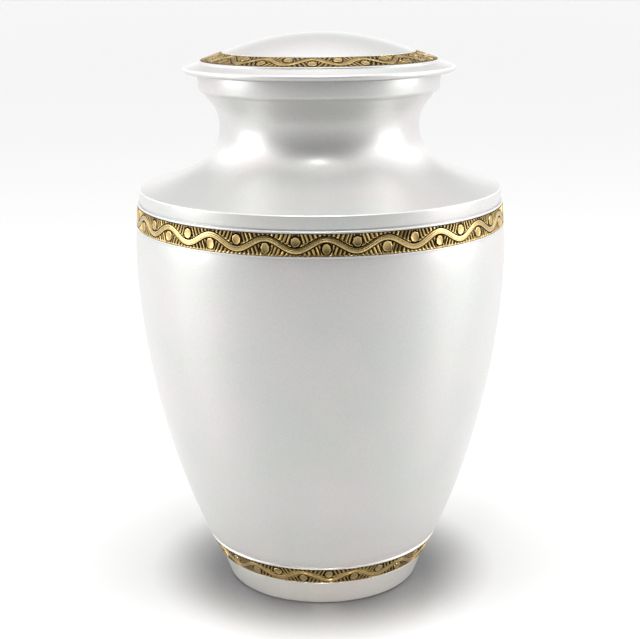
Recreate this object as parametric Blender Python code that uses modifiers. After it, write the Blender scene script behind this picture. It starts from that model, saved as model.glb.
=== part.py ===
"""A brass cremation urn: an enamelled vessel, its lid, and three engraved brass bands.

Lengths are in metres, +Z is up, and the urn stands on z = 0 with its axis on Z.
A profile point is (radius, height). Angles in a profile are in degrees from the
outward horizontal. Angles round the urn start at the front, -Y, and grow towards +X.
"""
import math
from collections import namedtuple

import bmesh
import bpy
from mathutils import Matrix, Vector

# Turning
SEGMENTS = 28

# Walls and fits
WALL = 0.0025
BAND_GAP = 0.0003
LID_GAP = 0.0003
SPIGOT_CLEARANCE = 0.0005
LIP_WIDTH = 0.0010
LIP_FALL = 0.0003

# Heights stack on each other from the table up, and radii follow the same chain.
# Foot: a ring, and over it the foot band between its lips
FOOT_RADIUS = 0.0476
FOOT_EDGE = 0.0007
FOOT_SPREAD = 0.0043
FOOT_RING_WIDTH = 0.0036
UNDERSIDE_DEPTH = 0.0060
FLOOR = 0.0026
FOOT_BAND_HEIGHT = 0.0130
FOOT_BAND_PROUD = 0.0009
FOOT_BAND_RISE = 0.0087
FOOT_BAND_RUN = 0.0044

# Belly, from the foot's lip up to the shoulder's lip
BELLY_HEIGHT = 0.1572
BELLY_FOOT_ANGLE = 65.7
BELLY_FOOT_REACH = 0.0714
BELLY_TOP_ANGLE = 98.2
BELLY_TOP_REACH = 0.0194

# Shoulder: the band, the plain rim over it, and the slope that sweeps up into the neck
RIM_RADIUS = 0.0859
RIM_HEIGHT = 0.0054
RIM_COVE = 0.0007
ARRIS = 0.0004
SHOULDER_BAND_PROUD = 0.0010
SHOULDER_BAND_RISE = 0.0097
SHOULDER_BAND_RUN = 0.0007
SLOPE_ANGLE = 166.9
SLOPE_REACH = 0.0350
NECK_RADIUS = 0.0471
NECK_RISE = 0.0289
NECK_REACH_BELOW = 0.0108
NECK_REACH_ABOVE = 0.0076

# Mouth collar
COLLAR_RISE = 0.0147
COLLAR_SPREAD = 0.0072
COLLAR_BREAK_ANGLE = 50.0
COLLAR_BREAK_REACH = 0.0041
COLLAR_CORNER_ANGLE = 40.0
COLLAR_FACE_ANGLE = 88.0
COLLAR_ROUND = 0.0024
COLLAR_BULGE = 0.0027
COLLAR_FLARE = 0.0005
COLLAR_HEIGHT = 0.0092
COLLAR_WALL = 0.0046
BORE_STEP = 0.0003

# Lid
LID_OVERHANG = 0.0066
LID_RIM_THICKNESS = 0.0028
LID_RIM_SWEEP = 150.0
LID_STEP = 0.0012
LID_BAND_SETBACK = 0.0082
LID_BAND_LIFT = 0.0029
LID_BAND_RISE = 0.0035
LID_BAND_RUN = 0.0100
DOME_RISE = 0.0083
DOME_BEAD = 0.0003
SPIGOT_DEPTH = 0.0080

# Facets along each curve of a section
BELLY_FACETS = 6
SHOULDER_FACETS = 6
NECK_FACETS = 3
CORNER_FACETS = 2
LID_RIM_FACETS = 3
DOME_FACETS = 4
INNER_BELLY_FACETS = 4
INNER_SHOULDER_FACETS = 4
INNER_NECK_FACETS = 2
INNER_DOME_FACETS = 2

# Engraving: the relief of a running vine with berries
GROOVE_DEPTH = 0.00135
RELIEF = 0.00045
RELIEF_ROOT = 0.00030
VINE_WIDTH = 0.0021
VINE_MARGIN = 0.0013
VINE_POINTS = 6
BERRY_RADIUS = 0.0023
BERRY_MARGIN = 0.0011
BERRY_SIDES = 6
SHOULDER_WAVES = 21
SHOULDER_TROUGH = 10.2
FOOT_WAVES = 14
FOOT_TROUGH = 2.8
LID_WAVES = 14
LID_TROUGH = 9.7

# An engraved band: (radius, height) of its face's upper and lower ends, the number
# of waves in the vine, and the angle of one of its troughs
Band = namedtuple("Band", "upper lower waves trough")

# Colours: (red, green, blue), roughness, metallic
PEARL_ENAMEL = ((0.86, 0.86, 0.85), 0.28, 0.0)
ANTIQUE_BRASS = ((0.42, 0.29, 0.11), 0.38, 1.0)


def clear_scene():
    """Start from an empty scene."""
    for old in list(bpy.data.objects):
        bpy.data.objects.remove(old, do_unlink=True)


def new_collection(name):
    """Add a collection to the scene."""
    group = bpy.data.collections.new(name)
    bpy.context.scene.collection.children.link(group)
    return group


def new_material(name, finish):
    """Make a Principled material from a colour, a roughness and a metallic value."""
    colour, roughness, metallic = finish
    material = bpy.data.materials.new(name)
    material.use_nodes = True
    material.diffuse_color = (*colour, 1.0)
    shader = material.node_tree.nodes["Principled BSDF"]
    shader.inputs["Base Color"].default_value = (*colour, 1.0)
    shader.inputs["Roughness"].default_value = roughness
    shader.inputs["Metallic"].default_value = metallic
    return material


def bezier(start, start_angle, start_reach, end, end_angle, end_reach, count, inward=0.0):
    """Sample a cubic curve between two profile points, moved inward by a wall.

    Each end has the angle at which the curve travels there and the length of its handle.
    """
    first = Vector(start)
    last = Vector(end)
    leave = Vector((math.cos(math.radians(start_angle)), math.sin(math.radians(start_angle))))
    arrive = Vector((math.cos(math.radians(end_angle)), math.sin(math.radians(end_angle))))
    handle_a = first + leave * start_reach
    handle_b = last - arrive * end_reach
    points = []
    for step in range(count + 1):
        t = step / count
        s = 1.0 - t
        place = s**3 * first + 3 * s * s * t * handle_a + 3 * s * t * t * handle_b + t**3 * last
        way = s * s * (handle_a - first) + 2 * s * t * (handle_b - handle_a) + t * t * (last - handle_b)
        way.normalize()
        place += Vector((-way.y, way.x)) * inward
        points.append((place.x, place.y))
    return points


def face_directions(band):
    """Give a band's upper end, its lower end, and its unit vectors down and inward."""
    upper = Vector(band.upper)
    lower = Vector(band.lower)
    down = (lower - upper).normalized()
    inward = Vector((down.y, -down.x))
    return upper, lower, down, inward


def place_band(lower, rise, run, waves, trough):
    """Give a band by its lower end, and by how far its upper end is above it and outside it."""
    return Band((lower[0] + run, lower[1] + rise), lower, waves, trough)


def foot_band():
    """The foot's band, over the foot's ring."""
    lower = (FOOT_RADIUS + FOOT_SPREAD + FOOT_BAND_PROUD, FOOT_BAND_HEIGHT)
    return place_band(lower, FOOT_BAND_RISE, FOOT_BAND_RUN, FOOT_WAVES, FOOT_TROUGH)


def shoulder_band():
    """The shoulder's band, over the belly and under the rim."""
    belly_foot = foot_band().upper[1]
    lower = (RIM_RADIUS + SHOULDER_BAND_PROUD + SHOULDER_BAND_RUN, belly_foot + BELLY_HEIGHT)
    return place_band(lower, SHOULDER_BAND_RISE, -SHOULDER_BAND_RUN, SHOULDER_WAVES, SHOULDER_TROUGH)


def neck_waist():
    """The neck's narrowest place."""
    return (NECK_RADIUS, rim_profile()[0][1] + NECK_RISE)


def collar_break():
    """The corner where the neck's flare meets the collar."""
    waist_radius, waist_height = neck_waist()
    return (waist_radius + COLLAR_SPREAD, waist_height + COLLAR_RISE)


def mouth():
    """The collar's top outer edge."""
    break_radius, break_height = collar_break()
    return (break_radius + COLLAR_BULGE, break_height + COLLAR_HEIGHT)


def lid_seat():
    """The outer edge of the lid's rim, and the height of its underside."""
    mouth_radius, mouth_height = mouth()
    return (mouth_radius + LID_OVERHANG, mouth_height + LID_GAP)


def lid_band():
    """The lid's band, round its dome."""
    radius, seat = lid_seat()
    lower = (radius - LID_BAND_SETBACK, seat + LID_RIM_THICKNESS + LID_BAND_LIFT)
    return place_band(lower, LID_BAND_RISE, -LID_BAND_RUN, LID_WAVES, LID_TROUGH)


def groove(band):
    """Profile of a band's groove with a lip on either side, from the top down."""
    upper, lower, down, inward = face_directions(band)
    points = [
        upper - down * LIP_WIDTH + inward * LIP_FALL,
        upper,
        upper + inward * GROOVE_DEPTH,
        lower + inward * GROOVE_DEPTH,
        lower,
        lower + down * LIP_WIDTH + inward * LIP_FALL,
    ]
    return [(point.x, point.y) for point in points]


def belly(count, inward=0.0):
    """The belly's curve, from the foot's lip up to the shoulder's lip."""
    start = groove(foot_band())[0]
    end = groove(shoulder_band())[-1]
    return bezier(
        start, BELLY_FOOT_ANGLE, BELLY_FOOT_REACH,
        end, BELLY_TOP_ANGLE, BELLY_TOP_REACH, count, inward)


def rim_profile():
    """The plain rim above the shoulder band: its top edge and its bottom cove."""
    ledge = groove(shoulder_band())[0][1]
    return [
        (RIM_RADIUS - ARRIS, ledge + RIM_COVE + RIM_HEIGHT + ARRIS),
        (RIM_RADIUS, ledge + RIM_COVE + RIM_HEIGHT),
        (RIM_RADIUS, ledge + RIM_COVE),
    ]


def shoulder(count, inward=0.0):
    """The shoulder's sweep, from the rim's edge in and up to the neck."""
    return bezier(
        rim_profile()[0], SLOPE_ANGLE, SLOPE_REACH,
        neck_waist(), 90.0, NECK_REACH_BELOW, count, inward)


def neck(count, inward=0.0):
    """The neck's flare, from its narrowest place up to the collar."""
    return bezier(
        neck_waist(), 90.0, NECK_REACH_ABOVE,
        collar_break(), COLLAR_BREAK_ANGLE, COLLAR_BREAK_REACH, count, inward)


def collar(count):
    """The collar's rounded lower corner and its flaring face, upwards."""
    mouth_radius, mouth_height = mouth()
    face_foot = (mouth_radius - COLLAR_FLARE, collar_break()[1] + COLLAR_ROUND)
    corner = bezier(
        collar_break(), COLLAR_CORNER_ANGLE, COLLAR_ROUND / 2,
        face_foot, COLLAR_FACE_ANGLE, COLLAR_ROUND / 2, count)
    return corner + [(mouth_radius, mouth_height)]


def foot_radius(height):
    """Outer radius of the foot's ring at a height."""
    top = groove(foot_band())[-1][1]
    share = (height - FOOT_EDGE) / (top - FOOT_EDGE)
    return FOOT_RADIUS + share * FOOT_SPREAD


def vessel_profile():
    """The vessel's whole section, from the floor's middle up inside and down outside."""
    floor_top = UNDERSIDE_DEPTH + FLOOR
    mouth_radius, mouth_height = mouth()
    bore = mouth_radius - COLLAR_WALL
    inner_neck = neck(INNER_NECK_FACETS, WALL)
    inside = [(0.0, floor_top), (foot_radius(floor_top) - WALL, floor_top)]
    inside += belly(INNER_BELLY_FACETS, WALL)
    inside += shoulder(INNER_SHOULDER_FACETS, WALL)
    inside += inner_neck[1:]
    inside += [(bore, inner_neck[-1][1] + BORE_STEP), (bore, mouth_height)]
    outside = collar(CORNER_FACETS)[::-1]
    outside += neck(NECK_FACETS)[::-1][1:]
    outside += shoulder(SHOULDER_FACETS)[::-1][1:]
    outside += rim_profile()[1:] + groove(shoulder_band())
    outside += belly(BELLY_FACETS)[::-1][1:-1] + groove(foot_band())
    ring_top = groove(foot_band())[-1][1]
    underside = [
        (foot_radius(ring_top), ring_top),
        (FOOT_RADIUS, FOOT_EDGE),
        (FOOT_RADIUS - FOOT_EDGE, 0.0),
        (FOOT_RADIUS - FOOT_RING_WIDTH, 0.0),
        (FOOT_RADIUS - FOOT_RING_WIDTH, UNDERSIDE_DEPTH),
        (0.0, UNDERSIDE_DEPTH),
    ]
    return inside + outside + underside


def dome(edge_radius, edge_height, rise, count):
    """A spherical cap's section, from its middle out to its edge."""
    sphere = (edge_radius**2 + rise**2) / (2 * rise)
    sweep = math.asin(edge_radius / sphere)
    middle = edge_height + rise - sphere
    angles = [sweep * step / count for step in range(count + 1)]
    return [(sphere * math.sin(a), middle + sphere * math.cos(a)) for a in angles]


def lid_profile():
    """The lid's whole section, from the dome's middle down outside and back inside."""
    radius, seat = lid_seat()
    band_groove = groove(lid_band())
    bead_radius, bead_height = band_groove[0]
    outside = dome(bead_radius, bead_height + DOME_BEAD, DOME_RISE, DOME_FACETS)
    outside += band_groove[1:-1]
    step_radius, step_height = band_groove[-2]
    outside += [(step_radius, step_height - LID_STEP)]
    nose = LID_RIM_THICKNESS / 2
    for step in range(LID_RIM_FACETS + 1):
        angle = math.radians(LID_RIM_SWEEP * (0.5 - step / LID_RIM_FACETS))
        outside.append((radius - nose + nose * math.cos(angle), seat + nose + nose * math.sin(angle)))
    spigot = mouth()[0] - COLLAR_WALL - SPIGOT_CLEARANCE
    upper, lower, _, inward = face_directions(lid_band())
    inner_upper = upper + inward * WALL
    inner_lower = lower + inward * WALL
    share = (spigot - WALL - inner_upper.x) / (inner_lower.x - inner_upper.x)
    inner_corner = inner_upper + (inner_lower - inner_upper) * share
    inside = [
        (radius - nose, seat),
        (spigot, seat),
        (spigot, seat - SPIGOT_DEPTH),
        (spigot - WALL, seat - SPIGOT_DEPTH),
        (spigot - WALL, inner_corner.y),
    ]
    inside += dome(inner_upper.x, inner_upper.y, DOME_RISE, INNER_DOME_FACETS)[::-1]
    return outside + inside


def turned(name, profile, closed=False):
    """Turn a profile round the Z axis into a mesh object."""
    edges = [(i, i + 1) for i in range(len(profile) - 1)]
    if closed:
        edges.append((len(profile) - 1, 0))
    mesh = bpy.data.meshes.new(name)
    mesh.from_pydata([(r, 0.0, z) for r, z in profile], edges, [])
    piece = bpy.data.objects.new(name, mesh)
    bpy.context.scene.collection.objects.link(piece)
    screw = piece.modifiers.new("Turn", "SCREW")
    screw.axis = "Z"
    screw.angle = math.tau
    screw.steps = SEGMENTS
    screw.render_steps = SEGMENTS
    screw.use_merge_vertices = True
    screw.merge_threshold = 0.00001
    return piece


def settle(piece, group, material, sharp_angle=32.0):
    """Apply a piece's modifiers, shade it, and put it in the urn's collection."""
    bpy.context.view_layer.update()
    graph = bpy.context.evaluated_depsgraph_get()
    mesh = bpy.data.meshes.new_from_object(piece.evaluated_get(graph))
    name = piece.name
    bpy.data.objects.remove(piece, do_unlink=True)
    mesh.name = name
    mesh.materials.clear()
    mesh.materials.append(material)
    mesh.shade_smooth()
    mesh.set_sharp_from_angle(angle=math.radians(sharp_angle))
    finished = bpy.data.objects.new(name, mesh)
    group.objects.link(finished)
    return finished


def flat_radius(radius, angle):
    """Radius, at an angle, of the many-sided ring that the turning makes of a circle."""
    side = math.tau / SEGMENTS
    return radius * math.cos(side / 2) / math.cos(angle % side - side / 2)


def on_band(band, along, angle, lift):
    """A point on a band: along its face from the middle, at an angle, lifted off its ground."""
    upper, lower, down, inward = face_directions(band)
    spot = (upper + lower) / 2 + down * along + inward * (RELIEF - lift)
    turn = angle - math.pi / 2
    radius = flat_radius(spot.x, turn)
    return Vector((radius * math.cos(turn), radius * math.sin(turn), spot.y))


def band_half(band):
    """Half the width of a band's face."""
    return (Vector(band.lower) - Vector(band.upper)).length / 2


def band_ring(name, band):
    """The plain ring of a band, as it sits in its groove."""
    upper, lower, down, inward = face_directions(band)
    top = upper + down * BAND_GAP
    bottom = lower - down * BAND_GAP
    ground = inward * RELIEF
    back = inward * (GROOVE_DEPTH - BAND_GAP)
    corners = [top + back, top + ground, bottom + ground, bottom + back]
    return turned(name, [(corner.x, corner.y) for corner in corners], closed=True)


def add_vine(bm, band):
    """Raise the vine: a strip that swings between the band's edges."""
    swing = band_half(band) - VINE_MARGIN - VINE_WIDTH / 2
    count = band.waves * VINE_POINTS
    trough = math.radians(band.trough)
    rows = []
    for step in range(count):
        phase = math.tau * step / VINE_POINTS
        angle = trough + math.tau * step / count
        run = (band.upper[0] + band.lower[0]) / 2 * math.tau / band.waves
        slope = math.atan(-swing * math.tau / run * math.sin(phase))
        half = VINE_WIDTH / 2 / math.cos(slope)
        middle = swing * math.cos(phase)
        row = [
            on_band(band, middle + side * half, angle, lift)
            for side, lift in ((-1, -RELIEF_ROOT), (1, -RELIEF_ROOT), (1, RELIEF), (-1, RELIEF))
        ]
        rows.append([bm.verts.new(corner) for corner in row])
    for step in range(count):
        here, there = rows[step], rows[(step + 1) % count]
        for side in range(4):
            after = (side + 1) % 4
            bm.faces.new((here[side], here[after], there[after], there[side]))


def add_berries(bm, band):
    """Raise the berries: one over each trough of the vine and one under each crest."""
    reach = band_half(band) - BERRY_MARGIN - BERRY_RADIUS
    for half_wave in range(2 * band.waves):
        side = -1 if half_wave % 2 == 0 else 1
        angle = math.radians(band.trough) + math.pi * half_wave / band.waves
        root = on_band(band, side * reach, angle, -RELIEF_ROOT)
        top = on_band(band, side * reach, angle, RELIEF)
        out = (top - root).normalized()
        across = out.cross(Vector((0.0, 0.0, 1.0))).normalized()
        turn = Matrix((across, out.cross(across), out)).transposed().to_4x4()
        place = Matrix.Translation((root + top) / 2) @ turn
        bmesh.ops.create_cone(
            bm, cap_ends=True, segments=BERRY_SIDES, radius1=BERRY_RADIUS,
            radius2=BERRY_RADIUS, depth=(top - root).length, matrix=place)


def engraved_band(name, band, group, cutters, material):
    """Make one band: its ring with the vine and the berries raised on it."""
    ring = band_ring(name, band)
    bm = bmesh.new()
    add_vine(bm, band)
    add_berries(bm, band)
    bmesh.ops.recalc_face_normals(bm, faces=bm.faces)
    mesh = bpy.data.meshes.new(name + "_relief")
    bm.to_mesh(mesh)
    bm.free()
    relief = bpy.data.objects.new(name + "_relief", mesh)
    relief.hide_render = True
    relief.display_type = "WIRE"
    cutters.objects.link(relief)
    join = ring.modifiers.new("Relief", "BOOLEAN")
    join.operation = "UNION"
    join.solver = "EXACT"
    join.use_self = True
    join.object = relief
    return settle(ring, group, material)


def build():
    """Build the whole urn."""
    clear_scene()
    urn = new_collection("cremation_urn")
    cutters = new_collection("cutters")
    enamel = new_material("pearl_enamel", PEARL_ENAMEL)
    lid_enamel = new_material("lid_pearl_enamel", PEARL_ENAMEL)
    settle(turned("urn_body", vessel_profile()), urn, enamel)
    settle(turned("lid", lid_profile()), urn, lid_enamel)
    bands = {"shoulder_band": shoulder_band(), "foot_band": foot_band(), "lid_band": lid_band()}
    for name, band in bands.items():
        brass = new_material(name + "_brass", ANTIQUE_BRASS)
        engraved_band(name, band, urn, cutters, brass)


build()
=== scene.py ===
"""Looks of an enamelled brass cremation urn with three engraved bands, round its CAD frame.

Lengths are in metres, +Z is up, and the urn stands on z = 0 with its axis on Z.
A section is a list of (radius, height) points, and its angles are in degrees from the
outward horizontal. Angles round the urn start at the front, -Y, and grow towards +X.
"""

import functools
import math
import random
from collections import namedtuple

import bmesh
import bpy
from mathutils import Matrix, Vector


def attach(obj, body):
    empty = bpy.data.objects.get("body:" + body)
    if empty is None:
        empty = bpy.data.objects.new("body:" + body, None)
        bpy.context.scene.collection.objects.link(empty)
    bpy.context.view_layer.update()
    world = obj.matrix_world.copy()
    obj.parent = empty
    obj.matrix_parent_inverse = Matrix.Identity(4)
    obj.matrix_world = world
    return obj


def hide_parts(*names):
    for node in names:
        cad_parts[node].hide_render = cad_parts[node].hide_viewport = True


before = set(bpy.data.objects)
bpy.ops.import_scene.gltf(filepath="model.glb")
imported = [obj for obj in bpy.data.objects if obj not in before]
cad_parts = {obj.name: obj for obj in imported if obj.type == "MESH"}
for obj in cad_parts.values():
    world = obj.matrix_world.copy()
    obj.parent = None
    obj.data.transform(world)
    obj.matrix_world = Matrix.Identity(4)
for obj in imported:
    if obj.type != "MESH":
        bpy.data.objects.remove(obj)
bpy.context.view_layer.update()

# Camera, at the photograph's viewing angle
PHOTO_WIDTH = 640
FOCAL_LENGTH_PIXELS = 1317.1
SENSOR_WIDTH = 36.0
CAMERA_PLACE = (-0.0005, -0.6252, 0.2955)
CAMERA_PITCH = 14.94
CAMERA_ROLL = -0.49

# Turning
TURN_STEPS = 192
FILLET_STEPS = 4
BELLY_STEPS = 72
SHOULDER_STEPS = 48
NECK_STEPS = 24
COLLAR_STEPS = 8
DOME_STEPS = 40
NOSE_STEPS = 16
INSIDE_BELLY_STEPS = 48
INSIDE_SHOULDER_STEPS = 32
INSIDE_NECK_STEPS = 12
INSIDE_DOME_STEPS = 24
MERGE_DISTANCE = 0.000002
SHARP_ANGLE = 40.0

# Walls and fits
WALL = 0.0025
BAND_GAP = 0.0003
LID_GAP = 0.0003
SPIGOT_CLEARANCE = 0.0005
LIP_WIDTH = 0.0010
LIP_FALL = 0.0003

# Foot
FOOT_RADIUS = 0.0476
FOOT_EDGE = 0.0007
FOOT_SPREAD = 0.0043
FOOT_RING_WIDTH = 0.0036
UNDERSIDE_DEPTH = 0.0060
FLOOR = 0.0026
FOOT_BAND_HEIGHT = 0.0130
FOOT_BAND_PROUD = 0.0009
FOOT_BAND_RISE = 0.0087
FOOT_BAND_RUN = 0.0044

# Belly
BELLY_HEIGHT = 0.1572
BELLY_FOOT_ANGLE = 65.7
BELLY_FOOT_REACH = 0.0714
BELLY_TOP_ANGLE = 98.2
BELLY_TOP_REACH = 0.0194

# Shoulder
RIM_RADIUS = 0.0859
RIM_HEIGHT = 0.0054
RIM_COVE = 0.0007
ARRIS = 0.0004
SHOULDER_BAND_PROUD = 0.0010
SHOULDER_BAND_RISE = 0.0097
SHOULDER_BAND_RUN = 0.0007
SLOPE_ANGLE = 166.9
SLOPE_REACH = 0.0350
NECK_RADIUS = 0.0471
NECK_RISE = 0.0289
NECK_REACH_BELOW = 0.0108
NECK_REACH_ABOVE = 0.0076

# Mouth collar
COLLAR_RISE = 0.0147
COLLAR_SPREAD = 0.0072
COLLAR_BREAK_ANGLE = 50.0
COLLAR_BREAK_REACH = 0.0041
COLLAR_CORNER_ANGLE = 40.0
COLLAR_FACE_ANGLE = 88.0
COLLAR_ROUND = 0.0024
COLLAR_BULGE = 0.0027
COLLAR_FLARE = 0.0005
COLLAR_HEIGHT = 0.0092
COLLAR_WALL = 0.0046
BORE_STEP = 0.0003

# Lid
LID_OVERHANG = 0.0066
LID_RIM_THICKNESS = 0.0028
LID_NOSE_TOP = 76.0
LID_NOSE_SWEEP = 166.0
LID_STEP = 0.0012
LID_BAND_SETBACK = 0.0082
LID_BAND_LIFT = 0.0029
LID_BAND_RISE = 0.0035
LID_BAND_RUN = 0.0100
DOME_RISE = 0.0083
DOME_BEAD = 0.0003
SPIGOT_DEPTH = 0.0080

# Small rounds that the turned metal and its enamel leave on every edge
LIP_ROUND = 0.00028
LIP_BACK = 0.0001
LIP_CROWN = 0.0006
LIP_ROOT = 0.0009
ROOT_ROUND = 0.0001
QUIRK_DEPTH = 0.0004
ARRIS_ROUND = 0.0004
MOUTH_ROUND = 0.0006
FOOT_ROUND = 0.0006
SEAT_ROUND = 0.00008
SPIGOT_ROUND = 0.0005

# Engraving
GROOVE_DEPTH = 0.00135
RELIEF = 0.00045
VINE_WIDTH = 0.0021
VINE_MARGIN = 0.0013
BERRY_RADIUS = 0.0023
BERRY_MARGIN = 0.0011
SHOULDER_WAVES = 21
SHOULDER_TROUGH = 10.2
FOOT_WAVES = 14
FOOT_TROUGH = 2.8
LID_WAVES = 14
LID_TROUGH = 9.7

# The graver's strokes beside the vine
STROKE_PITCH = 0.0015
STROKE_LEAN = 0.65
STROKE_DEPTH = 0.00042
STROKE_CUT = (0.0, 0.0, 0.55, 1.0, 1.0, 0.55)
RIDGE_DROP = 0.00006
BORDER = 0.0005
HATCH_ROWS = 11
BERRY_OUTLINE = 0.00045
RIDGE_TONE = 0.1
STROKE_WEIGHTS = (0.8, 1.1)
STROKE_SHIFTS = (-0.25, 0.25)
BAND_MERGE_DISTANCE = 0.000001
BAND_SHARP_ANGLE = 30.0
# Across the vine: distance from its middle and depth, both in metres, and patina
VINE_ROWS = (
    (0.00165, 0.00006, 0.2), (0.00150, 0.00040, 1.0), (0.00120, 0.00042, 1.0),
    (0.00106, 0.00004, 0.0), (0.00050, 0.0, 0.0), (0.00036, 0.00014, 0.8),
    (0.00020, 0.00002, 0.1), (-0.00034, 0.0, 0.05), (-0.00048, 0.00010, 0.6),
    (-0.00062, 0.00001, 0.0), (-0.00106, 0.00004, 0.0), (-0.00120, 0.00042, 1.0),
    (-0.00150, 0.00038, 0.9), (-0.00165, 0.00006, 0.2),
)

# The berries: number of sides, unevenness, bevel, and the rings of the dished middle
BERRY_SIDES = (7, 8, 8)
BERRY_WIDTHS = (0.88, 1.0)
BERRY_HEIGHTS = (0.97, 1.08)
BERRY_UNEVEN = (0.92, 1.06)
BERRY_BEVEL = 0.00022
BERRY_DISH = ((0.00035, 0.00006), (0.00025, 0.00004))

# Sizes of the finishes' grain
CLOUD_SIZE = 0.040
FLAKE_SIZE = 0.0003
PEEL_SIZE = 0.0016
STAIN_SIZE = 0.003
SCRATCH_SIZE = 0.0004
BOARD_GRAIN_SIZE = 0.002
# Reach of the painted contact shadow on the floor's colour
CONTACT_SHADOW_REACH = 0.038

FLOOR_HALF_SIZE = 40.0

# The tent of light, as steps along one part of the sky's direction: span, strengths at its ends
SKY_STEPS = {
    "sides": ("aside", (0.30, 0.80), (-0.95, 1.8)),
    "raised": ("height", (0.12, 0.38), (0.0, 1.0)),
    "ground": ("aside", (0.30, 0.80), (1.34, 1.35)),
    "opening": ("depth", (-0.85, -0.20), (0.0, 1.0)),
    "ceiling": ("height", (0.52, 0.82), (0.0, 1.0)),
    "overhead": ("depth", (-0.75, -0.35), (0.60, 1.70)),
}

# The softboxes
URN_MIDDLE = (0.0, 0.0, 0.14)
NECK_MIDDLE = (0.0, 0.0, 0.21)
FOOT_MIDDLE = (0.0, 0.0, 0.005)
# name, place, aim, size in metres, power in watts, spread in degrees, colour
SOFTBOXES = (
    ("left_softbox", (-1.10, -0.16, 0.36), URN_MIDDLE, (0.62, 0.55), 4.5, 180.0, "#FFFFFF"),
    ("right_softbox", (1.10, -0.10, 0.36), URN_MIDDLE, (0.62, 0.55), 4.7, 180.0, "#FFFFFF"),
    ("top_softbox", (0.0, -0.20, 1.25), URN_MIDDLE, (0.50, 0.34), 5.4, 180.0, "#FFFFFF"),
    ("neck_softbox", (-0.03, -0.66, 1.19), NECK_MIDDLE, (0.16, 0.10), 1.8, 180.0, "#FFFFFF"),
    ("low_strip", (0.0, -0.50, 0.03), FOOT_MIDDLE, (0.30, 0.02), 0.036, 8.0, "#FFF6EA"),
)

Band = namedtuple("Band", "upper lower waves trough")


def bezier(start, start_angle, start_reach, end, end_angle, end_reach, count, inward=0.0):
    """Sample a cubic curve between two section points, moved inward by a wall.

    Each end has the angle at which the curve travels there and the length of its handle.
    """
    first = Vector(start)
    last = Vector(end)
    leave = Vector((math.cos(math.radians(start_angle)), math.sin(math.radians(start_angle))))
    arrive = Vector((math.cos(math.radians(end_angle)), math.sin(math.radians(end_angle))))
    handle_a = first + leave * start_reach
    handle_b = last - arrive * end_reach
    points = []
    for step in range(count + 1):
        t = step / count
        s = 1.0 - t
        place = s**3 * first + 3 * s * s * t * handle_a + 3 * s * t * t * handle_b + t**3 * last
        way = s * s * (handle_a - first) + 2 * s * t * (handle_b - handle_a) + t * t * (last - handle_b)
        way.normalize()
        place += Vector((-way.y, way.x)) * inward
        points.append(place)
    return points


@functools.cache
def face_directions(band):
    """Give a band's upper end, its lower end, and its unit vectors down and inward."""
    upper = Vector(band.upper)
    lower = Vector(band.lower)
    down = (lower - upper).normalized()
    inward = Vector((down.y, -down.x))
    return upper, lower, down, inward


def place_band(lower, rise, run, waves, trough):
    """Give a band by its lower end, and by how far its upper end is above it and outside it."""
    return Band((lower[0] + run, lower[1] + rise), lower, waves, trough)


def foot_band():
    """The foot's band, over the foot's ring."""
    lower = (FOOT_RADIUS + FOOT_SPREAD + FOOT_BAND_PROUD, FOOT_BAND_HEIGHT)
    return place_band(lower, FOOT_BAND_RISE, FOOT_BAND_RUN, FOOT_WAVES, FOOT_TROUGH)


def shoulder_band():
    """The shoulder's band, over the belly and under the rim."""
    belly_foot = foot_band().upper[1]
    lower = (RIM_RADIUS + SHOULDER_BAND_PROUD + SHOULDER_BAND_RUN, belly_foot + BELLY_HEIGHT)
    return place_band(lower, SHOULDER_BAND_RISE, -SHOULDER_BAND_RUN, SHOULDER_WAVES, SHOULDER_TROUGH)


def lip_ends(band):
    """The far edges of the white lips over and under a band."""
    upper, lower, down, inward = face_directions(band)
    fall = inward * LIP_FALL
    return upper - down * LIP_WIDTH + fall, lower + down * LIP_WIDTH + fall


def rim_corner():
    """The rim's upper outer corner, just under the arris."""
    return Vector((RIM_RADIUS, lip_ends(shoulder_band())[0].y + RIM_COVE + RIM_HEIGHT))


def neck_waist():
    """The neck's narrowest place."""
    return Vector((NECK_RADIUS, rim_corner().y + ARRIS + NECK_RISE))


def collar_break():
    """The corner where the neck's flare meets the collar."""
    return neck_waist() + Vector((COLLAR_SPREAD, COLLAR_RISE))


def mouth():
    """The collar's top outer edge."""
    return collar_break() + Vector((COLLAR_BULGE, COLLAR_HEIGHT))


def lid_seat():
    """The outer edge of the lid's rim, and the height of its underside."""
    return mouth() + Vector((LID_OVERHANG, LID_GAP))


def lid_band():
    """The lid's band, round its dome."""
    radius, seat = lid_seat()
    lower = (radius - LID_BAND_SETBACK, seat + LID_RIM_THICKNESS + LID_BAND_LIFT)
    return place_band(lower, LID_BAND_RISE, -LID_BAND_RUN, LID_WAVES, LID_TROUGH)


def foot_radius(height):
    """Outer radius of the foot's ring at a height."""
    top = lip_ends(foot_band())[1].y
    return FOOT_RADIUS + (height - FOOT_EDGE) / (top - FOOT_EDGE) * FOOT_SPREAD


def sharp(points):
    """Section corners with no round."""
    return [(Vector(point), 0.0) for point in points]


def rounded(corners):
    """Sample a section of (corner, radius of its round)."""
    points = []
    for index, (corner, radius) in enumerate(corners):
        if radius == 0.0:
            points.append(corner)
            continue
        back = (corners[index - 1][0] - corner).normalized()
        ahead = (corners[index + 1][0] - corner).normalized()
        half = back.angle(ahead) / 2
        centre = corner + (back + ahead).normalized() * radius / math.sin(half)
        first = (corner + back * radius / math.tan(half) - centre).normalized()
        last = (corner + ahead * radius / math.tan(half) - centre).normalized()
        for step in range(FILLET_STEPS + 1):
            points.append(centre + first.slerp(last, step / FILLET_STEPS) * radius)
    return points


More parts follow.
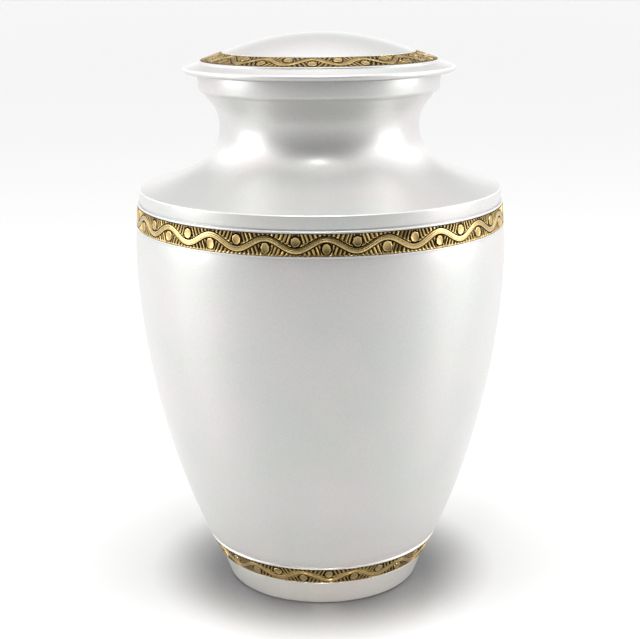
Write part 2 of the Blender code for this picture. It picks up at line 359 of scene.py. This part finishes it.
def seat(band):
    """Section corners of a band's seat and of the lip on either side, from the top down."""
    upper, lower, down, inward = face_directions(band)
    return [
        (upper - down * LIP_WIDTH + inward * LIP_ROOT, ROOT_ROUND),
        (upper - down * LIP_WIDTH + inward * LIP_BACK, LIP_CROWN),
        (upper + inward * LIP_BACK, LIP_ROUND),
        (upper + inward * GROOVE_DEPTH, SEAT_ROUND),
        (lower + inward * GROOVE_DEPTH, SEAT_ROUND),
        (lower + inward * LIP_BACK, LIP_ROUND),
        (lower + down * LIP_WIDTH + inward * LIP_BACK, LIP_ROUND),
        (lower + down * LIP_WIDTH + inward * LIP_FALL, ROOT_ROUND),
    ]


def belly(count, inward=0.0):
    """The belly's curve, from the foot's lip up to the shoulder's lip."""
    return bezier(
        lip_ends(foot_band())[0], BELLY_FOOT_ANGLE, BELLY_FOOT_REACH,
        lip_ends(shoulder_band())[1], BELLY_TOP_ANGLE, BELLY_TOP_REACH, count, inward)


def shoulder(count, inward=0.0):
    """The shoulder's sweep, from the rim's edge in and up to the neck."""
    return bezier(
        rim_corner() + Vector((-ARRIS, ARRIS)), SLOPE_ANGLE, SLOPE_REACH,
        neck_waist(), 90.0, NECK_REACH_BELOW, count, inward)


def neck(count, inward=0.0):
    """The neck's flare, from its narrowest place up to the collar."""
    return bezier(
        neck_waist(), 90.0, NECK_REACH_ABOVE,
        collar_break(), COLLAR_BREAK_ANGLE, COLLAR_BREAK_REACH, count, inward)


def collar(count):
    """The collar's rounded lower corner, upwards."""
    face_foot = Vector((mouth().x - COLLAR_FLARE, collar_break().y + COLLAR_ROUND))
    return bezier(
        collar_break(), COLLAR_CORNER_ANGLE, COLLAR_ROUND / 2,
        face_foot, COLLAR_FACE_ANGLE, COLLAR_ROUND / 2, count)


def vessel_section():
    """The vessel's section, from the floor's middle up inside and down outside."""
    floor_top = UNDERSIDE_DEPTH + FLOOR
    bore = mouth().x - COLLAR_WALL
    inner_neck = neck(INSIDE_NECK_STEPS, WALL)
    shoulder_seat = seat(shoulder_band())
    foot_seat = seat(foot_band())
    rim = rim_corner()
    cove_top = rim.y - RIM_HEIGHT
    quirk = rim.x - QUIRK_DEPTH
    ring_top = lip_ends(foot_band())[1].y
    corners = sharp([(0.0, floor_top)])
    corners += [(Vector((foot_radius(floor_top) - WALL, floor_top)), WALL / 2)]
    corners += sharp(belly(INSIDE_BELLY_STEPS, WALL) + shoulder(INSIDE_SHOULDER_STEPS, WALL))
    corners += sharp(inner_neck[1:])
    corners += sharp([(bore, inner_neck[-1].y + BORE_STEP)])
    corners += [(Vector((bore, mouth().y)), MOUTH_ROUND), (mouth(), MOUTH_ROUND)]
    corners += sharp(collar(COLLAR_STEPS)[::-1] + neck(NECK_STEPS)[::-1][1:])
    corners += sharp(shoulder(SHOULDER_STEPS)[::-1][1:-1])
    corners += [(rim + Vector((-ARRIS, ARRIS)), ARRIS_ROUND / 2), (rim, ARRIS_ROUND)]
    corners += [
        (Vector((rim.x, cove_top)), ROOT_ROUND),
        (Vector((quirk, cove_top - ROOT_ROUND)), ROOT_ROUND),
        (Vector((quirk, shoulder_seat[1][0].y)), ROOT_ROUND),
    ]
    corners += shoulder_seat[1:-1]
    corners += sharp(belly(BELLY_STEPS)[::-1][:-1])
    corners += foot_seat
    corners += [
        (Vector((foot_radius(ring_top) - LIP_FALL, ring_top)), ROOT_ROUND),
        (Vector((FOOT_RADIUS, FOOT_EDGE)), FOOT_ROUND),
        (Vector((FOOT_RADIUS - FOOT_EDGE, 0.0)), FOOT_ROUND / 2),
        (Vector((FOOT_RADIUS - FOOT_RING_WIDTH, 0.0)), FOOT_ROUND),
        (Vector((FOOT_RADIUS - FOOT_RING_WIDTH, UNDERSIDE_DEPTH)), FOOT_ROUND),
    ]
    corners += sharp([(0.0, UNDERSIDE_DEPTH)])
    return rounded(corners)


def dome(edge, rise, count):
    """A spherical cap's section, from its middle out to its edge."""
    sphere = (edge.x**2 + rise**2) / (2 * rise)
    sweep = math.asin(edge.x / sphere)
    middle = edge.y + rise - sphere
    angles = [sweep * step / count for step in range(count + 1)]
    return [Vector((sphere * math.sin(a), middle + sphere * math.cos(a))) for a in angles]


def lid_section():
    """The lid's section, from the dome's middle down outside and back inside."""
    band = lid_band()
    upper, lower, _, inward = face_directions(band)
    radius, seat_height = lid_seat()
    spigot = mouth().x - COLLAR_WALL - SPIGOT_CLEARANCE
    nose = LID_RIM_THICKNESS / 2
    slope_top = Vector((lip_ends(band)[1].x, lower.y - LID_STEP))
    inner_upper = upper + inward * WALL
    inner_lower = lower + inward * WALL
    share = (spigot - WALL - inner_upper.x) / (inner_lower.x - inner_upper.x)
    corners = sharp(dome(lip_ends(band)[0], DOME_RISE + DOME_BEAD, DOME_STEPS))
    corners += seat(band)[1:-1]
    corners += [(slope_top, ROOT_ROUND * 3)]
    for step in range(NOSE_STEPS + 1):
        angle = math.radians(LID_NOSE_TOP - LID_NOSE_SWEEP * step / NOSE_STEPS)
        out, up = math.cos(angle), math.sin(angle)
        corners += sharp([(radius - nose + nose * out, seat_height + nose + nose * up)])
    corners += [
        (Vector((spigot, seat_height)), ROOT_ROUND),
        (Vector((spigot, seat_height - SPIGOT_DEPTH)), SPIGOT_ROUND),
        (Vector((spigot - WALL, seat_height - SPIGOT_DEPTH)), SPIGOT_ROUND),
        (Vector((spigot - WALL, (inner_upper + (inner_lower - inner_upper) * share).y)), SPIGOT_ROUND),
    ]
    corners += sharp(dome(inner_upper, DOME_RISE, INSIDE_DOME_STEPS)[::-1])
    return rounded(corners)


def finish_mesh(bm, name, material, sharp_angle=SHARP_ANGLE):
    """Turn a bmesh into a shaded object of the urn."""
    mesh = bpy.data.meshes.new(name)
    bm.to_mesh(mesh)
    bm.free()
    mesh.materials.append(material)
    mesh.shade_smooth()
    mesh.set_sharp_from_angle(angle=math.radians(sharp_angle))
    piece = bpy.data.objects.new(name, mesh)
    bpy.context.scene.collection.objects.link(piece)
    return piece


def turned(name, section, material):
    """Turn a section that starts and ends on the axis into a closed shell."""
    bm = bmesh.new()
    verts = [bm.verts.new((point.x, 0.0, point.y)) for point in section]
    edges = [bm.edges.new(pair) for pair in zip(verts, verts[1:])]
    bmesh.ops.spin(
        bm, geom=verts + edges, cent=(0.0, 0.0, 0.0), axis=(0.0, 0.0, 1.0), dvec=(0.0, 0.0, 0.0),
        angle=math.tau, steps=TURN_STEPS, use_merge=True, use_normal_flip=False, use_duplicate=False)
    bmesh.ops.remove_doubles(bm, verts=bm.verts, dist=MERGE_DISTANCE)
    bmesh.ops.recalc_face_normals(bm, faces=bm.faces)
    return finish_mesh(bm, name, material)


def on_band(band, along, angle, lift):
    """A point on a band: along its face from the middle, at an angle, lifted off its face."""
    upper, lower, down, inward = face_directions(band)
    spot = (upper + lower) / 2 + down * along - inward * lift
    turn = angle - math.pi / 2
    return Vector((spot.x * math.cos(turn), spot.x * math.sin(turn), spot.y))


def band_half(band):
    """Half the width of a band's face."""
    return (Vector(band.lower) - Vector(band.upper)).length / 2


def berry_places(band):
    """Places of a band's berries, as (along, angle): over each trough and under each crest."""
    reach = band_half(band) - BERRY_MARGIN - BERRY_RADIUS
    trough = math.radians(band.trough)
    return [
        ((-reach, reach)[half_wave % 2], trough + math.pi * half_wave / band.waves)
        for half_wave in range(2 * band.waves)
    ]


def engraved_face(bm, band, patina, chance):
    """Lay the band's engraved face: vine, outlines and graver's strokes."""
    half = band_half(band) - BAND_GAP
    middle_radius = (band.upper[0] + band.lower[0]) / 2
    swing = band_half(band) - VINE_MARGIN - VINE_WIDTH / 2
    run = middle_radius * math.tau / band.waves
    strokes = round(run / STROKE_PITCH)
    per_wave = strokes * len(STROKE_CUT)
    columns = band.waves * per_wave
    rows = HATCH_ROWS * 2 + len(VINE_ROWS) + 1
    trough = math.radians(band.trough)
    berries = berry_places(band)
    weights = [
        (chance.uniform(*STROKE_WEIGHTS), chance.uniform(*STROKE_SHIFTS)) for _ in range(strokes * band.waves)
    ]

    def place(column, row):
        """Distance along the face from its middle, distance round it, depth and patina."""
        phase = math.tau * column / per_wave
        slope = -swing * math.tau / run * math.sin(phase)
        centre = swing * math.cos(phase)
        normal = Vector((slope, -1.0)).normalized()
        stroke = (column // len(STROKE_CUT)) % len(weights)
        weight, shift = weights[stroke]
        cut = STROKE_CUT[column % len(STROKE_CUT)]
        if row < HATCH_ROWS:
            offset, side, share = VINE_ROWS[0][0], -1.0, 1.0 - row / HATCH_ROWS
        elif row < HATCH_ROWS + len(VINE_ROWS):
            offset, depth, tone = VINE_ROWS[row - HATCH_ROWS]
            return centre + normal.y * offset, normal.x * offset, depth, tone
        else:
            offset, side = VINE_ROWS[-1][0], 1.0
            share = (row - HATCH_ROWS - len(VINE_ROWS)) / HATCH_ROWS
        start = centre + normal.y * offset
        field = half - BORDER if side > 0 else half
        end = side * field
        along = start + (end - start) * share
        if side > 0 and row == rows - 1:
            along = half
            cut = 0.0
        if side > 0 and share >= 1.0:
            cut = 0.0
        drift = normal.x * offset - STROKE_LEAN * slope * (along - start)
        if cut > 0.0:
            drift += shift * STROKE_PITCH / len(STROKE_CUT)
        depth = RIDGE_DROP + (STROKE_DEPTH * weight - RIDGE_DROP) * cut
        return along, drift, depth, min(1.0, RIDGE_TONE + cut * weight)

    made = bmesh.ops.create_grid(bm, x_segments=columns, y_segments=rows - 1, size=1.0)
    for vert in made["verts"]:
        column = round((vert.co.x + 1.0) / 2 * columns) % columns
        row = round((1.0 - vert.co.y) / 2 * (rows - 1))
        along, drift, depth, tone = place(column, row)
        angle = trough + math.tau * column / columns + drift / middle_radius
        nearest = round((angle - trough) / (math.pi / band.waves)) % len(berries)
        for index in (nearest - 1, nearest, (nearest + 1) % len(berries)):
            berry_along, berry_angle = berries[index]
            gap = (angle - berry_angle + math.pi) % math.tau - math.pi
            distance = math.hypot(gap * middle_radius, along - berry_along)
            if distance < BERRY_RADIUS + BERRY_OUTLINE and abs(along) < half - BAND_GAP:
                depth = max(depth, STROKE_DEPTH)
                tone = 1.0
        vert.co = on_band(band, along, angle, -depth)
        vert[patina] = tone
    bmesh.ops.remove_doubles(bm, verts=bm.verts, dist=BAND_MERGE_DISTANCE)


def close_back(bm, band, patina):
    """Give the engraved face its back, so that the band is a closed ring."""
    _, _, _, inward = face_directions(band)
    rim = [edge for edge in bm.edges if edge.is_boundary]
    made = bmesh.ops.extrude_edge_only(bm, edges=rim)["geom"]
    for vert in (item for item in made if isinstance(item, bmesh.types.BMVert)):
        flat = Vector((vert.co.x, vert.co.y))
        radius = flat.length + inward.x * (GROOVE_DEPTH - BAND_GAP)
        flat.normalize()
        height = vert.co.z + inward.y * (GROOVE_DEPTH - BAND_GAP)
        vert.co = Vector((flat.x * radius, flat.y * radius, height))
        vert[patina] = 1.0
    inner = [edge for edge in bm.edges if edge.is_boundary]
    bmesh.ops.bridge_loops(bm, edges=inner)


def add_berry(bm, band, along, angle, patina, chance, stain):
    """Add one berry: an uneven flat disc with a rubbed bevel and a slightly dished middle.

    The patina on it deepens downwards, by its stain.
    """
    sides = chance.choice(BERRY_SIDES)
    made = bmesh.ops.create_circle(
        bm, cap_ends=True, cap_tris=False, segments=sides, radius=BERRY_RADIUS)
    verts = made["verts"]
    stretch = Matrix.Diagonal((chance.uniform(*BERRY_WIDTHS), chance.uniform(*BERRY_HEIGHTS), 1.0))
    twist = Matrix.Rotation(chance.uniform(0.0, math.tau / sides), 3, "Z")
    for vert in verts:
        vert.co = stretch @ twist @ (vert.co * chance.uniform(*BERRY_UNEVEN))
    face = verts[0].link_faces[0]
    walls = bmesh.ops.extrude_face_region(bm, geom=[face])["geom"]
    top_verts = [item for item in walls if isinstance(item, bmesh.types.BMVert)]
    top = [item for item in walls if isinstance(item, bmesh.types.BMFace)][0]
    bmesh.ops.translate(bm, vec=(0.0, 0.0, RELIEF), verts=top_verts)
    bmesh.ops.bevel(
        bm, geom=top_verts + list(top.edges), offset=BERRY_BEVEL, offset_type="OFFSET", affect="EDGES",
        segments=2, profile=0.5, material=-1)
    berry_verts = connected(verts[0])
    top = max((f for v in berry_verts for f in v.link_faces), key=lambda f: f.calc_center_median().z)
    for inset, dip in BERRY_DISH:
        bmesh.ops.inset_individual(bm, faces=[top], thickness=inset, depth=-dip)
    berry_verts = connected(verts[0])
    out = (on_band(band, along, angle, RELIEF) - on_band(band, along, angle, 0.0)).normalized()
    across = out.cross(Vector((0.0, 0.0, 1.0))).normalized()
    turn = Matrix((-across, out.cross(-across), out)).transposed().to_4x4()
    place = Matrix.Translation(on_band(band, along, angle, -RELIEF)) @ turn
    for vert in berry_verts:
        depth = (RELIEF - vert.co.z) / RELIEF
        vert[patina] = min(1.0, depth * stain)
        vert.co = place @ vert.co


def connected(start):
    """All vertices joined to one vertex."""
    found = {start}
    queue = [start]
    while queue:
        for edge in queue.pop().link_edges:
            for vert in edge.verts:
                if vert not in found:
                    found.add(vert)
                    queue.append(vert)
    return sorted(found, key=lambda vert: (vert.co.z, vert.co.x, vert.co.y))


def engraved_band(name, band, material, seed, age, stain):
    """Make one engraved band as a closed ring, darker all over with age, its berries with stain."""
    chance = random.Random(seed)
    bm = bmesh.new()
    patina = bm.verts.layers.float.new("patina")
    engraved_face(bm, band, patina, chance)
    close_back(bm, band, patina)
    for along, angle in berry_places(band):
        add_berry(bm, band, along, angle, patina, chance, stain)
    for vert in bm.verts:
        vert[patina] = age + (1.0 - age) * vert[patina]
    bmesh.ops.recalc_face_normals(bm, faces=bm.faces)
    return finish_mesh(bm, name, material, BAND_SHARP_ANGLE)


def linear(code):
    """Turn an sRGB hex colour into linear RGBA."""
    channels = [int(code[i:i + 2], 16) / 255 for i in (1, 3, 5)]
    return tuple(c / 12.92 if c <= 0.04045 else ((c + 0.055) / 1.055) ** 2.4 for c in channels) + (1.0,)


def add_node(tree, kind, settings=None, values=None, links=None):
    """Add a node with its settings, its input values and the links into it."""
    node = tree.nodes.new(kind)
    for key, value in (settings or {}).items():
        setattr(node, key, value)
    for key, value in (values or {}).items():
        node.inputs[key].default_value = value
    for key, socket in (links or {}).items():
        tree.links.new(socket, node.inputs[key])
    return node


def new_material(name):
    """An empty material with its node tree and its output."""
    material = bpy.data.materials.new(name)
    material.use_nodes = True
    tree = material.node_tree
    tree.nodes.clear()
    output = tree.nodes.new("ShaderNodeOutputMaterial")
    return material, tree, output


def pearl_enamel():
    """White pearl enamel, sprayed and baked on brass.

    Mica flakes in the paint mirror the room softly, so the white turns grey where the
    room is dark, and the clear top layer adds a thin gloss with a faint orange peel.
    """
    material, tree, output = new_material("sprayed_pearl_enamel")
    where = add_node(tree, "ShaderNodeTexCoord").outputs["Object"]
    cloud = add_node(
        tree, "ShaderNodeTexNoise", values={"Scale": 1 / CLOUD_SIZE, "Detail": 2.0}, links={"Vector": where})
    tint = add_node(tree, "ShaderNodeValToRGB", links={"Fac": cloud.outputs["Fac"]})
    tint.color_ramp.elements[0].position = 0.35
    tint.color_ramp.elements[0].color = linear("#B9BBB8")
    tint.color_ramp.elements[1].position = 0.65
    tint.color_ramp.elements[1].color = linear("#BFBCBB")
    flakes = add_node(tree, "ShaderNodeTexVoronoi", values={"Scale": 1 / FLAKE_SIZE}, links={"Vector": where})
    glint = add_node(tree, "ShaderNodeSeparateColor", links={"Color": flakes.outputs["Color"]})
    gloss = add_node(
        tree, "ShaderNodeMapRange", values={"To Min": 0.31, "To Max": 0.41},
        links={"Value": glint.outputs["Red"]})
    grains = add_node(
        tree, "ShaderNodeMapRange", values={"To Min": 0.94, "To Max": 1.06},
        links={"Value": glint.outputs["Green"]})
    pearl = add_node(
        tree, "ShaderNodeVectorMath", settings={"operation": "SCALE"},
        links={"Vector": tint.outputs["Color"], "Scale": grains.outputs["Result"]})
    peel = add_node(
        tree, "ShaderNodeTexNoise", values={"Scale": 1 / PEEL_SIZE, "Detail": 1.0}, links={"Vector": where})
    bump = add_node(
        tree, "ShaderNodeBump", values={"Strength": 0.08, "Distance": 0.00004},
        links={"Height": peel.outputs["Fac"]})
    shader = add_node(
        tree, "ShaderNodeBsdfPrincipled",
        values={"Metallic": 0.42, "IOR": 1.5, "Coat Weight": 0.35, "Coat Roughness": 0.18},
        links={
            "Base Color": pearl.outputs["Vector"], "Roughness": gloss.outputs["Result"],
            "Normal": bump.outputs["Normal"]})
    tree.links.new(shader.outputs["BSDF"], output.inputs["Surface"])
    return material


def antique_brass():
    """Cast and hand-engraved brass, blackened and rubbed back.

    The dark patina stays in the cuts, and the rubbed faces shine a warm, slightly dull gold
    with fine scratches.
    """
    material, tree, output = new_material("engraved_antique_brass")
    where = add_node(tree, "ShaderNodeTexCoord").outputs["Object"]
    depth = add_node(tree, "ShaderNodeAttribute", settings={"attribute_name": "patina"}).outputs["Fac"]
    stain = add_node(
        tree, "ShaderNodeTexNoise", values={"Scale": 1 / STAIN_SIZE, "Detail": 3.0}, links={"Vector": where})
    dirt = add_node(
        tree, "ShaderNodeMath", settings={"operation": "MULTIPLY_ADD"},
        values={1: 0.5, 2: -0.25}, links={0: stain.outputs["Fac"]})
    amount = add_node(
        tree, "ShaderNodeMath", settings={"operation": "ADD", "use_clamp": True},
        links={0: depth, 1: dirt.outputs["Value"]})
    colour = add_node(tree, "ShaderNodeValToRGB", links={"Fac": amount.outputs["Value"]})
    ramp = colour.color_ramp
    ramp.elements[0].position = 0.0
    ramp.elements[0].color = linear("#C9B27E")
    ramp.elements[1].position = 0.85
    ramp.elements[1].color = linear("#251808")
    middle = ramp.elements.new(0.35)
    middle.color = linear("#967C48")
    rough = add_node(
        tree, "ShaderNodeMapRange", values={"To Min": 0.22, "To Max": 0.65},
        links={"Value": amount.outputs["Value"]})
    scratch = add_node(
        tree, "ShaderNodeTexNoise", values={"Scale": 1 / SCRATCH_SIZE, "Detail": 2.0},
        links={"Vector": where})
    bump = add_node(
        tree, "ShaderNodeBump", values={"Strength": 0.35, "Distance": 0.00005},
        links={"Height": scratch.outputs["Fac"]})
    shader = add_node(
        tree, "ShaderNodeBsdfPrincipled", values={"Metallic": 1.0},
        links={
            "Base Color": colour.outputs["Color"], "Roughness": rough.outputs["Result"],
            "Normal": bump.outputs["Normal"]})
    tree.links.new(shader.outputs["BSDF"], output.inputs["Surface"])
    return material


def pale_floor():
    """Smooth white studio board, which spreads the light evenly.

    Its colour holds a painted shadow: an ambient occlusion test paints it darker where the urn stands on it,
    and its fine grain keeps its sheen matt.
    """
    material, tree, output = new_material("matt_white_board")
    where = add_node(tree, "ShaderNodeTexCoord").outputs["Object"]
    grain = add_node(
        tree, "ShaderNodeTexNoise", values={"Scale": 1 / BOARD_GRAIN_SIZE, "Detail": 2.0},
        links={"Vector": where})
    bump = add_node(
        tree, "ShaderNodeBump", values={"Strength": 0.05, "Distance": 0.0001},
        links={"Height": grain.outputs["Fac"]})
    # Painted shadow: an ambient occlusion test darkens the floor's colour round the urn's foot
    painted_contact_shadow = add_node(
        tree, "ShaderNodeAmbientOcclusion", settings={"samples": 8},
        values={"Distance": CONTACT_SHADOW_REACH})
    # Colour of the painted shadow: dark grey next to the urn, the board's own pale grey in the open
    shade = add_node(tree, "ShaderNodeValToRGB", links={"Fac": painted_contact_shadow.outputs["AO"]})
    shade.color_ramp.elements[0].position = 0.40
    shade.color_ramp.elements[0].color = linear("#56565A")
    shade.color_ramp.elements[1].position = 0.95
    shade.color_ramp.elements[1].color = linear("#C9C9C9")
    shader = add_node(
        tree, "ShaderNodeBsdfPrincipled", values={"Roughness": 0.42, "IOR": 2.1},
        links={"Base Color": shade.outputs["Color"], "Normal": bump.outputs["Normal"]})
    tree.links.new(shader.outputs["BSDF"], output.inputs["Surface"])
    return material


def add_floor():
    """The plain pale floor."""
    bm = bmesh.new()
    bmesh.ops.create_grid(bm, x_segments=1, y_segments=1, size=FLOOR_HALF_SIZE)
    floor = finish_mesh(bm, "floor", pale_floor())


def add_camera():
    """The camera, at the photograph's viewing angle."""
    data = bpy.data.cameras.new("camera")
    data.sensor_width = SENSOR_WIDTH
    data.lens = FOCAL_LENGTH_PIXELS / PHOTO_WIDTH * SENSOR_WIDTH
    camera = bpy.data.objects.new("camera", data)
    tilt = Matrix.Rotation(math.radians(90.0 - CAMERA_PITCH), 4, "X")
    roll = Matrix.Rotation(math.radians(CAMERA_ROLL), 4, "Z")
    camera.matrix_world = Matrix.Translation(CAMERA_PLACE) @ tilt @ roll
    bpy.context.scene.collection.objects.link(camera)
    bpy.context.scene.camera = camera


def add_softbox(name, place, target, size, power, spread, colour):
    """A rectangular soft light that faces a point."""
    data = bpy.data.lights.new(name, "AREA")
    data.shape = "RECTANGLE"
    data.size, data.size_y = size
    data.energy = power
    data.color = linear(colour)[:3]
    data.spread = math.radians(spread)
    light = bpy.data.objects.new(name, data)
    facing = (Vector(target) - Vector(place)).to_track_quat("-Z", "Y")
    light.matrix_world = Matrix.Translation(place) @ facing.to_matrix().to_4x4()
    bpy.context.scene.collection.objects.link(light)


def light_studio():
    """A white tent of soft light round the urn, open and dark towards the camera."""
    world = bpy.data.worlds.new("studio")
    bpy.context.scene.world = world
    world.use_nodes = True
    tree = world.node_tree
    tree.nodes.clear()
    output = tree.nodes.new("ShaderNodeOutputWorld")
    sky_way = add_node(tree, "ShaderNodeTexCoord").outputs["Generated"]
    parts = add_node(tree, "ShaderNodeSeparateXYZ", links={"Vector": sky_way})
    aside = add_node(
        tree, "ShaderNodeMath", settings={"operation": "ABSOLUTE"}, links={0: parts.outputs["X"]})

    ways = {"aside": aside.outputs["Value"], "depth": parts.outputs["Y"], "height": parts.outputs["Z"]}
    steps = {}
    for name, (way, (start, end), (low, high)) in SKY_STEPS.items():
        step = add_node(
            tree, "ShaderNodeMapRange", settings={"interpolation_type": "SMOOTHSTEP"},
            values={"From Min": start, "From Max": end, "To Min": low, "To Max": high},
            links={"Value": ways[way]})
        steps[name] = step.outputs["Result"]
    wall = add_node(
        tree, "ShaderNodeMath", settings={"operation": "MULTIPLY_ADD"},
        links={0: steps["sides"], 1: steps["raised"], 2: steps["ground"]})
    tent = add_node(
        tree, "ShaderNodeMath", settings={"operation": "MULTIPLY"},
        links={0: wall.outputs["Value"], 1: steps["opening"]})
    sky = add_node(
        tree, "ShaderNodeMix", settings={"data_type": "FLOAT"},
        links={"Factor": steps["ceiling"], "A": tent.outputs["Value"], "B": steps["overhead"]})
    light = add_node(
        tree, "ShaderNodeBackground", values={"Color": linear("#FFFFFF")},
        links={"Strength": sky.outputs["Result"]})
    tree.links.new(light.outputs["Background"], output.inputs["Surface"])
    for softbox in SOFTBOXES:
        add_softbox(*softbox)
    bpy.context.scene.view_settings.view_transform = "Standard"


def build():
    """Build the urn's looks and the studio round it."""
    enamel = pearl_enamel()
    brass = antique_brass()
    vessel = turned("vessel", vessel_section(), enamel)
    cover = turned("domed_lid", lid_section(), enamel)
    shoulder_ring = engraved_band("engraved_shoulder_ring", shoulder_band(), brass, 21, 0.0, 0.9)
    foot_ring = engraved_band("engraved_foot_ring", foot_band(), brass, 14, 0.02, 0.3)
    lid_ring = engraved_band("engraved_lid_ring", lid_band(), brass, 7, 0.14, 0.3)
    pieces = (
        (vessel, "urn_body", "pearl_enamel"), (cover, "lid", "pearl_enamel"),
        (shoulder_ring, "shoulder_band", "antique_brass"), (foot_ring, "foot_band", "antique_brass"),
        (lid_ring, "lid_band", "antique_brass"),
    )
    for piece, node, slot in pieces:
        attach(piece, "root")
        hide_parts(node)


add_camera()
light_studio()
add_floor()
build()
